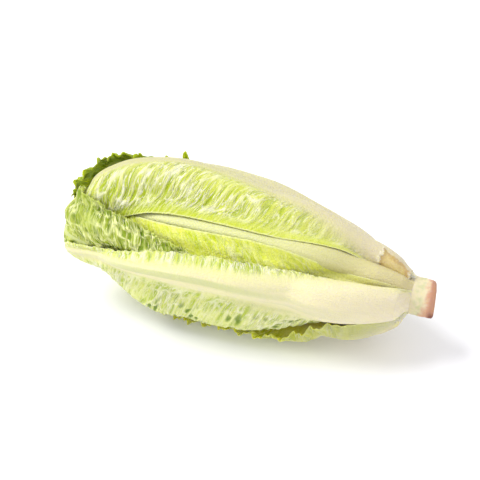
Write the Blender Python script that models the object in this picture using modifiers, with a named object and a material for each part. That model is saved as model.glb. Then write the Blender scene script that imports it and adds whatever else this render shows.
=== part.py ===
"""A romaine lettuce heart lying on its side: a cut stem and the leaves that wrap round it.

Metres, +Z up. The cut end of the stem points to +X and the leaf tips to -X. The head rests
on the midrib of its lowest leaf, which is pressed flat there.

Every leaf is laid on the leaves beneath it, from the innermost outwards, in coordinates of
the head itself: the distance from the cut end along the head's outline, the turn round the
head's axis (0 at the front, which is -Y, and 90 degrees at the top) and the height above
the axis.
"""

import math
from dataclasses import dataclass

import bmesh
import bpy
import numpy as np

MM = 0.001
DEG = math.pi / 180

# The head's outline, from the cut end to the tip: distance along the axis, and radius
OUTLINE_ALONG = np.array([0, 8, 16, 32, 60, 95, 130, 160, 180, 196, 206, 212, 214]) * MM
OUTLINE_RADIUS = np.array([10, 10.3, 14.5, 23, 33.5, 41, 43.5, 42.5, 39.5, 32.5, 23, 12, 0]) * MM
OUTLINE_STEP = 0.5 * MM
ROUND_RADIUS = 6 * MM

# Where the head is fuller than its outline, or less full: the middle (distance and turn),
# the reach along and round, and the height
FULLNESS = (
    (148 * MM, 100 * DEG, 22 * MM, 25 * DEG, 2 * MM),
    (186 * MM, -42 * DEG, 26 * MM, 32 * DEG, -7 * MM),
    (206 * MM, -65 * DEG, 24 * MM, 34 * DEG, -6 * MM),
    (216 * MM, 20 * DEG, 16 * MM, 45 * DEG, 2 * MM),
    (208 * MM, 72 * DEG, 13 * MM, 26 * DEG, 4 * MM),
)

# The layers stand square to the axis up to the knee, and fan out from there round the tip
FAN_KNEE = 130 * MM
FAN_REACH = 45 * MM

# The stem, from the cut end inwards: distance along the axis, and radius. Leaves grow from
# the core behind its shoulder.
STEM_ALONG = np.array([0, 0.9, 6.8, 7.6, 16, 30, 45, 56, 60]) * MM
STEM_RADIUS = np.array([9.4, 10.1, 10.2, 5.8, 5.6, 4.8, 3.4, 1.6, 0]) * MM
STEM_SHOULDER = 3
STEM_SIDES = 24
STEM_CLEARANCE = 0.4 * MM
HEART_RADIUS = 1.5 * MM

# How the head lies: over the origin, tilted tip up, with its underside pressed a little flat
TILT = 2.3 * DEG
MIDDLE = 105 * MM
ASIDE = 1.8 * MM
AXIS_HEIGHT = 38.1 * MM
PRESSED = 16 * MM
PRESS = 0.012 / MM
TABLE = (0.4, 0.2, 0.02)

# The leaf tissue: the blade, and the midrib from the foot to the tip of the leaf
BLADE = 0.75 * MM
RIB_KNOTS = np.array([0, 0.12, 0.35, 0.7, 1])
RIB_THICKNESS = np.array([2.4, 3.2, 3.4, 1.8, 0.2]) * MM
RIB_HALF_WIDTH = np.array([7, 10, 8.5, 5, 2]) * MM
THICKEST = 5 * MM
OUTER_FOOT = 11 * MM
FOOT_TAPER = (-7 * MM, 12 * MM)
RIB_SHOULDER = 1.5
VEIN_HEIGHT = 0.5 * MM

# The side veins start between these shares of the midrib's half width, and grow between these
# shares of the leaf's length. They lean towards the tip, as much as this share of the width.
VEIN_START = (0.5, 1.6)
VEIN_GROWTH = (0.1, 0.35)
VEIN_LEAN = 0.5
LEAN_START = (0.02, 0.2)
LEAN_END = 4
ROW_END = 0.3

# The leaf's shape from its foot to its tip
WIDTH_KNOTS = np.array([0, 0.13, 0.35, 0.7, 0.88])
TURN_KNOTS = np.array([0, 0.35, 0.7, 1])
TIP_HALF_WIDTH = 2.5 * MM
TEETH = 2.5 * MM
TEETH_START = (0.2, 0.4)
LIFTED_WIDTH = (0.35, 1)
ROW_SPREAD = 1.25
COLUMN_SPREAD = 1.15

# The packing of the leaves. The windows are counted in cells of the grid.
GRID_ALONG = 1 * MM
GRID_TURNS = 240
SWELL_WINDOW = (9, 7)
RELAX_WINDOW = (5, 4)
EVEN_WINDOW = (12, 22)
PACKING_ROUNDS = 8
LEAST_GAP = 0.35 * MM
MOST_GAP = 7 * MM
EDGE_GAP_SHARE = 0.25
EDGE_ZONE = (0.45, 1)
TIP_GAP_SHARE = 0.15
TIP_ZONE = (0.75, 1)
LEAST_LAYERS = 0.5

# The heart leaves, which stand at the golden angle to each other
HEART_LEAVES = 7
HEART_TURN = 40
GOLDEN_ANGLE = 137.5
HEART_FOOT = 22 * MM
HEART_FOOT_STEP = 4.5 * MM
HEART_TIP = 236 * MM
HEART_TIP_STEP = 2 * MM

# Colours and roughness of the tissue
CREAM = (0.80, 0.80, 0.52)
PALE_GREEN = (0.62, 0.72, 0.28)
LIME = (0.52, 0.64, 0.12)
LEAF_GREEN = (0.24, 0.38, 0.07)
CUT_STEM = (0.74, 0.55, 0.40)
LEAF_ROUGHNESS = 0.45
STEM_ROUGHNESS = 0.6


@dataclass
class Leaf:
    """One leaf. foot and tip are distances along the head's outline; turns is the direction
    of the midrib at the foot, the shoulder, the belly and the tip, in degrees; upper and
    lower are its half widths either side of the midrib, and stand and lift are how far its
    midrib and its upper edge stand off, all from the foot to near the tip, in mm."""

    name: str
    foot: float
    tip: float
    turns: tuple
    upper: tuple = (7, 14, 26, 34, 34)
    lower: tuple = (7, 14, 26, 34, 34)
    stand: tuple = (0, 0, 0, 0, 0)
    rounding: float = 0.72
    rows: int = 26
    columns: int = 12
    rib: float = 1.0
    cut: float = 0.0
    lift: tuple = (0, 0, 0, 0, 0)
    colour: tuple = PALE_GREEN


def through(knots, values, x):
    """A smooth curve through the values at the knots, flat beyond the ends."""
    slopes = np.gradient(values, knots)
    x = np.clip(x, knots[0], knots[-1])
    left = np.clip(np.searchsorted(knots, x, side="right") - 1, 0, len(knots) - 2)
    span = knots[left + 1] - knots[left]
    q = (x - knots[left]) / span
    start = (2 * q**3 - 3 * q**2 + 1) * values[left] + (q**3 - 2 * q**2 + q) * span * slopes[left]
    end = (3 * q**2 - 2 * q**3) * values[left + 1] + (q**3 - q**2) * span * slopes[left + 1]
    return start + end


def ease(low, high, x):
    """0 below low, 1 above high, and smooth between them."""
    q = np.clip((x - low) / (high - low), 0, 1)
    return q * q * (3 - 2 * q)


def around(turn, middle):
    """The turn from the middle, between -180 and 180 degrees."""
    return (turn - middle + math.pi) % (2 * math.pi) - math.pi


def measure_outline():
    """The outline in even steps of its own length: distance along the axis, and radius."""
    chords = np.hypot(np.diff(OUTLINE_ALONG), np.diff(OUTLINE_RADIUS))
    knots = np.concatenate([[0], np.cumsum(chords)])
    fine = np.linspace(0, knots[-1], int(knots[-1] / OUTLINE_STEP))
    along = through(knots, OUTLINE_ALONG, fine)
    radius = np.maximum(through(knots, OUTLINE_RADIUS, fine), 0)
    length = np.concatenate([[0], np.cumsum(np.hypot(np.diff(along), np.diff(radius)))])
    return length, along, radius


LENGTH, ALONG, RADIUS = measure_outline()


def outline(distance):
    """Distance along the axis and radius, at a distance along the outline."""
    return np.interp(distance, LENGTH, ALONG), np.interp(distance, LENGTH, RADIUS)


def round_radius(distance):
    """The radius that widths round the head are measured on."""
    return np.maximum(outline(distance)[1], ROUND_RADIUS)


def ray(distance):
    """The point of the axis that the layers stand on, their direction as (along, out), and
    the depth of the head there."""
    along, radius = outline(distance)
    past = np.maximum(along - FAN_KNEE, 0)
    centre = np.minimum(along, FAN_KNEE) + FAN_REACH * (1 - np.exp(-past / FAN_REACH))
    depth = np.hypot(along - centre, radius)
    return centre, (along - centre) / depth, radius / depth, depth


def fullness(distance, turn):
    """How far the head stands out of its outline."""
    total = 0
    for middle, side, reach_along, reach_round, height in FULLNESS:
        away = ((distance - middle) / reach_along) ** 2 + (around(turn, side) / reach_round) ** 2
        total = total + height * np.exp(-away)
    return total


def place(distance, turn, height):
    """World points at a height above the axis, with the head lying on its side."""
    centre, forward, outward, _ = ray(distance)
    x = MIDDLE - centre - forward * height
    y = ASIDE - outward * height * np.cos(turn)
    z = outward * height * np.sin(turn)
    lying_x = x * math.cos(TILT) + z * math.sin(TILT)
    lying_z = z * math.cos(TILT) - x * math.sin(TILT) + AXIS_HEIGHT
    low = np.maximum(PRESSED - lying_z, 0)
    return np.stack([lying_x, y, lying_z + PRESS * low**2], axis=-1)


def share_along(leaf, distance):
    """0 at the leaf's foot and 1 at its tip."""
    return np.clip((distance - leaf.foot) / (leaf.tip - leaf.foot), 0, 1)


def rib_turn(leaf, distance):
    return through(TURN_KNOTS, np.array(leaf.turns) * DEG, share_along(leaf, distance))


def half_width(leaf, distance, side):
    """Half width on one side of the midrib: side is 1 towards greater turns, or -1."""
    share = share_along(leaf, distance)
    upper = through(WIDTH_KNOTS, np.array(leaf.upper) * MM, share)
    lower = through(WIDTH_KNOTS, np.array(leaf.lower) * MM, share)
    closing = np.clip((share - leaf.rounding) / (1 - leaf.rounding), 0, 1)
    return TIP_HALF_WIDTH + (np.where(side > 0, upper, lower) - TIP_HALF_WIDTH) * np.sqrt(1 - closing**2)


def rib_width(leaf, distance):
    return leaf.rib * through(RIB_KNOTS, RIB_HALF_WIDTH, share_along(leaf, distance))


def thickness(leaf, distance, from_rib):
    """The blade, and the midrib that stands out of it. A leaf cut off at a slant thins from
    the length of its cut down to its foot, and one that grows from the core tapers there."""
    rib = leaf.rib * through(RIB_KNOTS, RIB_THICKNESS, share_along(leaf, distance))
    rib = rib * np.clip(1 - (from_rib / rib_width(leaf, distance)) ** 2, 0, 1) ** RIB_SHOULDER
    if leaf.cut:
        rib = np.minimum(rib, THICKEST * np.clip((distance - leaf.foot) / leaf.cut, 0, 1))
    if leaf.foot > OUTER_FOOT:
        rib = rib * ease(*FOOT_TAPER, distance - leaf.foot)
    return BLADE + rib


def vein_height(leaf, distance, from_rib):
    """How far the side veins stand out, which is nothing on the midrib and at the foot."""
    clear_of_rib = ease(*VEIN_START, np.abs(from_rib) / rib_width(leaf, distance))
    return VEIN_HEIGHT * clear_of_rib * ease(*VEIN_GROWTH, share_along(leaf, distance))


def spread_over(field, window, pick):
    """pick, such as the greatest or the mean, of the field over a window of grid cells."""
    along, turns = window
    rows = len(field)
    padded = np.pad(field, ((along, along), (0, 0)), mode="edge")
    field = pick(np.stack([padded[i : i + rows] for i in range(2 * along + 1)]), axis=0)
    return pick(np.stack([np.roll(field, i, axis=1) for i in range(-turns, turns + 1)]), axis=0)


def leaf_over_grid(leaf, distance, turn):
    """Over the grid: whether the leaf covers it, the room that its tissue takes, its share
    of the gap beneath, which is least where the leaf's edges hug the head, and its stand."""
    offset = around(turn, rib_turn(leaf, distance))
    from_rib = offset * round_radius(distance)
    width = half_width(leaf, distance, np.sign(offset))
    cover = (np.abs(from_rib) < width + TEETH) & (distance > leaf.foot - GRID_ALONG)
    cover = cover & (distance < leaf.tip + TEETH)
    tissue = thickness(leaf, distance, from_rib) + 2 * vein_height(leaf, distance, from_rib)
    share = share_along(leaf, distance)
    to_edge = ease(*EDGE_ZONE, np.abs(from_rib) / width)
    gap_share = 1 - (1 - EDGE_GAP_SHARE) * to_edge
    gap_share = gap_share * (1 - (1 - TIP_GAP_SHARE) * ease(*TIP_ZONE, share))
    stand = through(WIDTH_KNOTS, np.array(leaf.stand) * MM, share) * (1 - to_edge)
    return cover, tissue, gap_share, stand


def packing(leaves):
    """The height of each leaf's inner face over a grid of distances and turns. The leaves
    run from the outermost inwards, and are laid from the innermost outwards. The gaps
    between them are widened or narrowed until the head fills its outline."""
    distances = np.arange(0, LENGTH[-1], GRID_ALONG)
    turns = np.arange(GRID_TURNS) * 2 * math.pi / GRID_TURNS
    distance, turn = np.meshgrid(distances, turns, indexing="ij")
    depth = ray(distance)[3] + fullness(distance, turn)
    stem = np.interp(outline(distance)[0], STEM_ALONG[STEM_SHOULDER:], STEM_RADIUS[STEM_SHOULDER:])
    core = np.maximum(stem, HEART_RADIUS) + STEM_CLEARANCE
    laid = [(leaf, *leaf_over_grid(leaf, distance, turn)) for leaf in leaves]
    covered = np.any([cover for _, cover, *_ in laid], axis=0)
    evened = spread_over(covered.astype(float), EVEN_WINDOW, np.mean)
    layers = sum(np.where(cover, share, 0) for _, cover, _, share, _ in laid)
    layers = spread_over(layers, EVEN_WINDOW, np.mean) / evened
    gap = np.zeros(distance.shape)
    heights = {}
    for _ in range(PACKING_ROUNDS):
        top = core
        for leaf, cover, tissue, share, stand in reversed(laid):
            swollen = spread_over(top - depth, SWELL_WINDOW, np.max)
            under = spread_over(swollen, RELAX_WINDOW, np.mean) + depth
            heights[leaf.name] = under + LEAST_GAP + gap * share + stand
            top = np.where(cover, heights[leaf.name] + tissue, top)
        room = spread_over(np.where(covered, depth - top, 0), EVEN_WINDOW, np.mean) / evened
        gap = np.clip(gap + room / np.maximum(layers, LEAST_LAYERS), 0, MOST_GAP)
    return heights


def sample(grid, distance, turn):
    """The grid's value at any distance and turn, by linear interpolation."""
    row = np.clip(distance / GRID_ALONG, 0, len(grid) - 1.001)
    column = turn / (2 * math.pi) * GRID_TURNS
    i = np.floor(row).astype(int)
    j = np.floor(column).astype(int)
    u = row - i
    v = column - j
    near = grid[i, j % GRID_TURNS] * (1 - v) + grid[i, (j + 1) % GRID_TURNS] * v
    far = grid[i + 1, j % GRID_TURNS] * (1 - v) + grid[i + 1, (j + 1) % GRID_TURNS] * v
    return near * (1 - u) + far * u


def lattice(leaf):
    """The leaf's lattice: distance, turn, distance from the midrib, and place across from
    -1 to 1. Its rows run from the midrib out towards the tip, as the side veins do, and lie
    closer at the tip. Every other row ends in a tooth."""
    row = np.linspace(0, 1, leaf.rows + 1)[:, None]
    row = np.sin(row * ROW_SPREAD) / math.sin(ROW_SPREAD)
    across = np.linspace(-1, 1, leaf.columns + 1)[None, :] + 0 * row
    side = np.sign(across)
    reach = np.abs(across) ** COLUMN_SPREAD
    level = leaf.foot + row * (leaf.tip - leaf.foot)
    lean = VEIN_LEAN * ease(*LEAN_START, row) * (1 - row**LEAN_END)
    distance = level + 0 * reach
    for _ in range(3):
        distance = level + lean * reach * half_width(leaf, distance, side)
        distance = np.minimum(distance, leaf.tip - (leaf.tip - level) * ROW_END)
    tooth = np.where(np.arange(leaf.rows + 1) % 2, 0.5, -0.5)[:, None] * TEETH * (reach == 1)
    from_rib = side * (reach * half_width(leaf, distance, side) + tooth * ease(*TEETH_START, row))
    turn = rib_turn(leaf, distance) + from_rib / round_radius(distance)
    return distance, turn, from_rib, side * reach


def laid_points(leaf, heights):
    """World points of the leaf's inner face, with every other row raised as a side vein, and
    the leaf's thickness at each."""
    distance, turn, from_rib, across = lattice(leaf)
    height = sample(heights[leaf.name], distance, turn)
    raised = np.where(np.arange(leaf.rows + 1) % 2, 2, 0)[:, None]
    height = height + raised * vein_height(leaf, distance, from_rib)
    lift = through(WIDTH_KNOTS, np.array(leaf.lift) * MM, share_along(leaf, distance))
    height = height + lift * ease(*LIFTED_WIDTH, across)
    return place(distance, turn, height), thickness(leaf, distance, from_rib)


def give_material(obj, colour, roughness):
    material = bpy.data.materials.new(obj.name)
    material.use_nodes = True
    shader = material.node_tree.nodes["Principled BSDF"]
    shader.inputs["Base Color"].default_value = (*colour, 1)
    shader.inputs["Roughness"].default_value = roughness
    shader.inputs["Metallic"].default_value = 0
    obj.data.materials.append(material)


def build_leaf(leaf, heights, collection):
    """A grid laid on the head, whose thickness grows outwards from its inner face."""
    points, thick = laid_points(leaf, heights)
    mesh = bpy.data.meshes.new(leaf.name)
    bm = bmesh.new()
    bmesh.ops.create_grid(bm, x_segments=leaf.columns, y_segments=leaf.rows, size=1)
    weights = bm.verts.layers.deform.verify()
    in_rows = sorted(bm.verts, key=lambda v: (round(v.co.y, 4), round(v.co.x, 4)))
    for vertex, point, across in zip(in_rows, points.reshape(-1, 3), thick.ravel()):
        vertex.co = point
        vertex[weights][0] = across / THICKEST
    bmesh.ops.triangulate(bm, faces=bm.faces)
    bm.to_mesh(mesh)
    bm.free()
    mesh.shade_smooth()
    obj = bpy.data.objects.new(leaf.name, mesh)
    collection.objects.link(obj)
    obj.vertex_groups.new(name="thickness")
    tissue = obj.modifiers.new("tissue", "SOLIDIFY")
    tissue.thickness = THICKEST
    tissue.offset = 1
    tissue.vertex_group = "thickness"
    give_material(obj, leaf.colour, LEAF_ROUGHNESS)
    return obj


def build_stem(collection):
    """The cut stem, turned round the head's axis: the butt, and the core behind it that the
    leaves grow from. Its own +Z points to the cut end."""
    mesh = bpy.data.meshes.new("stem")
    bm = bmesh.new()
    profile = [bm.verts.new((0, 0, 0))]
    profile += [bm.verts.new((r, 0, -a)) for a, r in zip(STEM_ALONG, STEM_RADIUS)]
    for pair in zip(profile[:-1], profile[1:]):
        bm.edges.new(pair)
    bm.to_mesh(mesh)
    bm.free()
    obj = bpy.data.objects.new("stem", mesh)
    collection.objects.link(obj)
    obj.rotation_euler = (0, math.pi / 2 + TILT, 0)
    obj.location = (MIDDLE * math.cos(TILT), ASIDE, AXIS_HEIGHT - MIDDLE * math.sin(TILT))
    turned = obj.modifiers.new("turned", "SCREW")
    turned.steps = STEM_SIDES
    turned.render_steps = STEM_SIDES
    turned.use_merge_vertices = True
    turned.merge_threshold = 0.05 * MM
    give_material(obj, CUT_STEM, STEM_ROUGHNESS)


def rest_on_table(leaf):
    """Cuts the flat spot that the head rests on into the lowest leaf's midrib."""
    cutters = bpy.data.collections.new("cutters")
    bpy.context.scene.collection.children.link(cutters)
    mesh = bpy.data.meshes.new("table")
    bm = bmesh.new()
    bmesh.ops.create_cube(bm, size=1)
    bmesh.ops.scale(bm, verts=bm.verts, vec=TABLE)
    bmesh.ops.translate(bm, verts=bm.verts, vec=(0, 0, -TABLE[2] / 2))
    bm.to_mesh(mesh)
    bm.free()
    table = bpy.data.objects.new("table", mesh)
    cutters.objects.link(table)
    table.hide_render = True
    table.display_type = "WIRE"
    flat = leaf.modifiers.new("flat spot", "BOOLEAN")
    flat.operation = "DIFFERENCE"
    flat.object = table


def outer_leaves():
    """The leaves that show, from the outermost inwards."""
    back = Leaf(
        "leaf_01_back", 9.5 * MM, 224 * MM, turns=(172, 168, 160, 104), rounding=0.9,
        upper=(6, 14, 26, 34, 34), lower=(6, 9, 9, 22, 35), colour=LEAF_GREEN,
    )
    under = Leaf(
        "leaf_02_under", 10.5 * MM, 200 * MM, turns=(-80, -82, -86, -88), rib=1.25,
        upper=(10, 25, 28, 22, 14), lower=(8, 14, 26, 33, 33), stand=(1.5, 9, 2, 0, 0),
        lift=(0, 1.5, 8, 0, 0), colour=LIME,
    )
    front = Leaf(
        "leaf_03_front", 9.5 * MM, 215 * MM, turns=(10, 11, 8, -14), rounding=0.8, rib=1.25,
        upper=(7.5, 9, 12, 12, 11), lower=(8, 17, 30, 42, 42), colour=CREAM,
    )
    front_tip = Leaf(
        "leaf_04_front_tip", 20 * MM, 236 * MM, turns=(0, -4, 5, 8), rounding=0.86,
        upper=(8, 12, 14, 26, 26), lower=(8, 14, 26, 30, 30),
    )
    top = Leaf(
        "leaf_05_top", 14 * MM, 236 * MM, turns=(88, 101, 98, 60), rounding=0.88, rib=0.85, cut=22 * MM,
        upper=(5, 17, 30, 36, 36), lower=(4, 12, 31, 40, 40),
    )
    band = Leaf(
        "leaf_06_band", 17 * MM, 222 * MM, turns=(14, 0, -6, 0), colour=LIME,
        upper=(7.5, 16, 33, 38, 38), lower=(8, 14, 26, 32, 32),
    )
    far_side = Leaf(
        "leaf_07_far_side", 9.5 * MM, 227 * MM, turns=(222, 222, 222, 222), rounding=0.8,
        rows=22, columns=10,
    )
    ridge = Leaf(
        "leaf_08_ridge", 9.5 * MM, 230 * MM, turns=(118, 124, 132, 132), rounding=0.8,
        upper=(4.5, 12, 26, 34, 34), lower=(4.5, 12, 26, 34, 34), rows=22, columns=10,
    )
    gap = Leaf(
        "leaf_09_gap", 9.5 * MM, 188 * MM, turns=(56, 54, 49, 46),
        upper=(4, 11, 26, 30, 30), lower=(4, 11, 26, 30, 30), colour=CREAM,
    )
    low = Leaf(
        "leaf_10_low", 20 * MM, 232 * MM, turns=(264, 264, 264, 264), rounding=0.8,
        rows=22, columns=10,
    )
    return [back, under, front, front_tip, top, band, far_side, ridge, gap, low]


def heart_leaves(first):
    """The leaves inside, which grow ever further up the core."""
    leaves = []
    for i in range(HEART_LEAVES):
        leaf = Leaf(
            f"leaf_{first + i:02d}_heart",
            HEART_FOOT + i * HEART_FOOT_STEP,
            HEART_TIP - i * HEART_TIP_STEP,
            turns=(HEART_TURN + i * GOLDEN_ANGLE,) * 4, rounding=0.84, rib=0.75, rows=16, columns=8,
            upper=(6, 14, 32, 42, 42), lower=(6, 14, 32, 42, 42), colour=LIME,
        )
        leaves.append(leaf)
    return leaves


def main():
    for obj in list(bpy.data.objects):
        bpy.data.objects.remove(obj)
    collection = bpy.data.collections.new("romaine heart")
    bpy.context.scene.collection.children.link(collection)
    leaves = outer_leaves()
    leaves += heart_leaves(first=len(leaves) + 1)
    heights = packing(leaves)
    build_stem(collection)
    solids = {leaf.name: build_leaf(leaf, heights, collection) for leaf in leaves}
    rest_on_table(solids["leaf_02_under"])


main()
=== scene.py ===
"""The looks of a romaine lettuce heart that lies on its side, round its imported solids.

The leaves are grown from the innermost outwards, as the head itself grows, and are then
packed round the stem. Each leaf stands for the solid of the same name.
"""

import math
from dataclasses import dataclass

import bpy
import numpy as np
from mathutils import Matrix, Vector


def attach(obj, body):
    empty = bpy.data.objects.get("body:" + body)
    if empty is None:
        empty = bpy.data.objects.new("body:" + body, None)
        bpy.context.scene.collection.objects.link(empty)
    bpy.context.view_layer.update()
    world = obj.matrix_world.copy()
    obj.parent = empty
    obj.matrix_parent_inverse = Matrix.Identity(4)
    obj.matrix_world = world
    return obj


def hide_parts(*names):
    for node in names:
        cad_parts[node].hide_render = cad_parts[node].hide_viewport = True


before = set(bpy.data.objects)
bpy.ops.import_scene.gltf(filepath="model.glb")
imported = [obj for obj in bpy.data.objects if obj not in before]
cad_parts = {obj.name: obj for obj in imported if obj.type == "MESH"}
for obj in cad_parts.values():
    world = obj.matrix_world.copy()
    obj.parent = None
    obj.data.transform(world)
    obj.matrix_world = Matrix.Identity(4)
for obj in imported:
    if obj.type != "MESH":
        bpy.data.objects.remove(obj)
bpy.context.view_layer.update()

for leftover in [obj for obj in bpy.data.objects if obj.type in {"LIGHT", "CAMERA"}]:
    bpy.data.objects.remove(leftover)


# The stem
# The butt that the head was cut from the ground at, and the short core behind it that every
# leaf grows from. Firm white flesh in a thin skin, with a cut face that has browned in air.

MM = 0.001
CM = 0.01
DEG = math.pi / 180

TILT = 2.3 * DEG
MIDDLE = 105 * MM
ASIDE = 1.8 * MM
AXIS_HEIGHT = 38.1 * MM

BUTT_ALONG = np.array([0, 0.5, 1.5, 4, 7.5, 11, 14, 17]) * MM
BUTT_RADIUS = np.array([8.7, 9.5, 10, 10.2, 10.2, 10.2, 9.4, 6]) * MM
CORE_ALONG = np.array([17, 22, 30, 45, 56, 60]) * MM
CORE_RADIUS = np.array([5.6, 5.3, 4.8, 3.4, 1.6, 0.02]) * MM
BUTT_SIDES = 96
FACE_RINGS = 13
WALL_RINGS = 60
RING_CROWDING = 1.2

SCAR_DEPTH = 0.25 * MM
SCAR_LENGTH = 3 * MM
SCAR_SIDES = 9
SLICE_DEPTH = 0.25 * MM
SLICE_STEP = 2.2 * MM
SLICE_LENGTH = 7 * MM
CUT_DISH = 0.5 * MM
CUT_SLANT = 0.2
CUT_SHIFT = 0.9 * MM
SLANT_REACH = 9 * MM


def through(knots, values, x):
    """A smooth curve through the values at the knots, flat beyond the ends."""
    slopes = np.gradient(values, knots)
    x = np.clip(x, knots[0], knots[-1])
    left = np.clip(np.searchsorted(knots, x, side="right") - 1, 0, len(knots) - 2)
    span = knots[left + 1] - knots[left]
    q = (x - knots[left]) / span
    start = (2 * q**3 - 3 * q**2 + 1) * values[left] + (q**3 - 2 * q**2 + q) * span * slopes[left]
    end = (3 * q**2 - 2 * q**3) * values[left + 1] + (q**3 - q**2) * span * slopes[left + 1]
    return start + end


def ease(low, high, x):
    """0 below low, 1 above high, and smooth between them."""
    q = np.clip((x - low) / (high - low), 0, 1)
    return q * q * (3 - 2 * q)


def chance(i, j, seed):
    """A fixed random number from 0 to 1 for each pair of whole numbers."""
    mixed = np.sin(i * 127.1 + j * 311.7 + seed * 74.7) * 43758.5453
    return mixed - np.floor(mixed)


def waver(u, v, seed):
    """Smooth random waves from -1 to 1, about one unit of u and v long."""
    i, j = np.floor(u), np.floor(v)
    p, q = ease(0, 1, u - i), ease(0, 1, v - j)
    near = chance(i, j, seed) * (1 - q) + chance(i, j + 1, seed) * q
    far = chance(i + 1, j, seed) * (1 - q) + chance(i + 1, j + 1, seed) * q
    return 2 * (near * (1 - p) + far * p) - 1


def lying(along, across, up):
    """The head's own lengths (along its axis from the cut end, to the front, and up) as a
    point of the world, with the head lying on its side."""
    x = MIDDLE - along
    return np.stack(
        [
            x * math.cos(TILT) + up * math.sin(TILT),
            ASIDE - across + 0 * x,
            up * math.cos(TILT) - x * math.sin(TILT) + AXIS_HEIGHT,
        ],
        axis=-1,
    )


def closed_mesh(name, points, faces, marks):
    """An object with these points and faces, smoothly shaded, and a value of each mark at
    every point for its material to read."""
    mesh = bpy.data.meshes.new(name)
    mesh.from_pydata(points, [], faces)
    mesh.shade_smooth()
    for mark, values in marks.items():
        layer = mesh.attributes.new(mark, "FLOAT", "POINT")
        layer.data.foreach_set("value", np.asarray(values, np.float32).ravel())
    piece = bpy.data.objects.new(name, mesh)
    bpy.context.scene.collection.objects.link(piece)
    return piece


def butt_surface(along):
    """Radius of the butt's skin, which runs on under the feet of the leaves."""
    return through(BUTT_ALONG, BUTT_RADIUS, along)


def butt_and_core():
    """The stem turned round the head's axis, with an uneven skin and a rough cut face, which
    is cut at a slant, so that it turns away from the front."""
    face_radius = np.linspace(0, 1, FACE_RINGS + 1)[:-1] * BUTT_RADIUS[0]
    wall_along = np.linspace(0, 1, WALL_RINGS) ** RING_CROWDING * BUTT_ALONG[-1]
    along = np.concatenate([0 * face_radius, wall_along, CORE_ALONG])[:, None]
    radius = np.concatenate([face_radius, butt_surface(wall_along), CORE_RADIUS])[:, None]
    turn = (np.arange(BUTT_SIDES) * 2 * math.pi / BUTT_SIDES)[None, :]
    on_skin = ease(6 * MM, 9.5 * MM, radius) * ease(8 * MM, 6 * MM, along)
    scar = waver(turn * BUTT_SIDES / 2 / math.pi / SCAR_SIDES, along / SCAR_LENGTH, seed=3)
    radius = radius + SCAR_DEPTH * on_skin * scar
    across, up = radius * np.cos(turn), radius * np.sin(turn)
    on_face = (np.arange(len(along)) < FACE_RINGS)[:, None] + 0 * turn
    slices = SLICE_DEPTH * waver(across / SLICE_STEP, up / SLICE_LENGTH, seed=5)
    dished = CUT_DISH * (1 - (radius / BUTT_RADIUS[0]) ** 2)
    slanted = along + on_face * (dished + slices)
    slanted = slanted - (CUT_SLANT * across + CUT_SHIFT) * (1 - ease(0, SLANT_REACH, along))
    points = lying(slanted, across, up)
    ring = np.arange(len(along) * BUTT_SIDES).reshape(-1, BUTT_SIDES)
    ahead = np.roll(ring, -1, axis=1)
    faces = np.stack([ring[:-1], ring[1:], ahead[1:], ahead[:-1]], axis=-1).reshape(-1, 4)
    faces = faces.tolist() + [ring[0][::-1].tolist(), ring[-1].tolist()]
    marks = {
        "on_cut_face": on_face,
        "out_from_axis": radius / BUTT_RADIUS[0],
        "from_cut": along / CM + 0 * turn,
        "low_down": ease(0.3, -0.7, np.sin(turn)) + 0 * along,
    }
    return closed_mesh("stem_look", points.reshape(-1, 3), faces, marks)


LIGHT_SPREAD = (1.0, 0.95, 0.15)
WAXY_SHINE = 0.15
BUMP_DEPTH = 0.3 * MM


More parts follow.
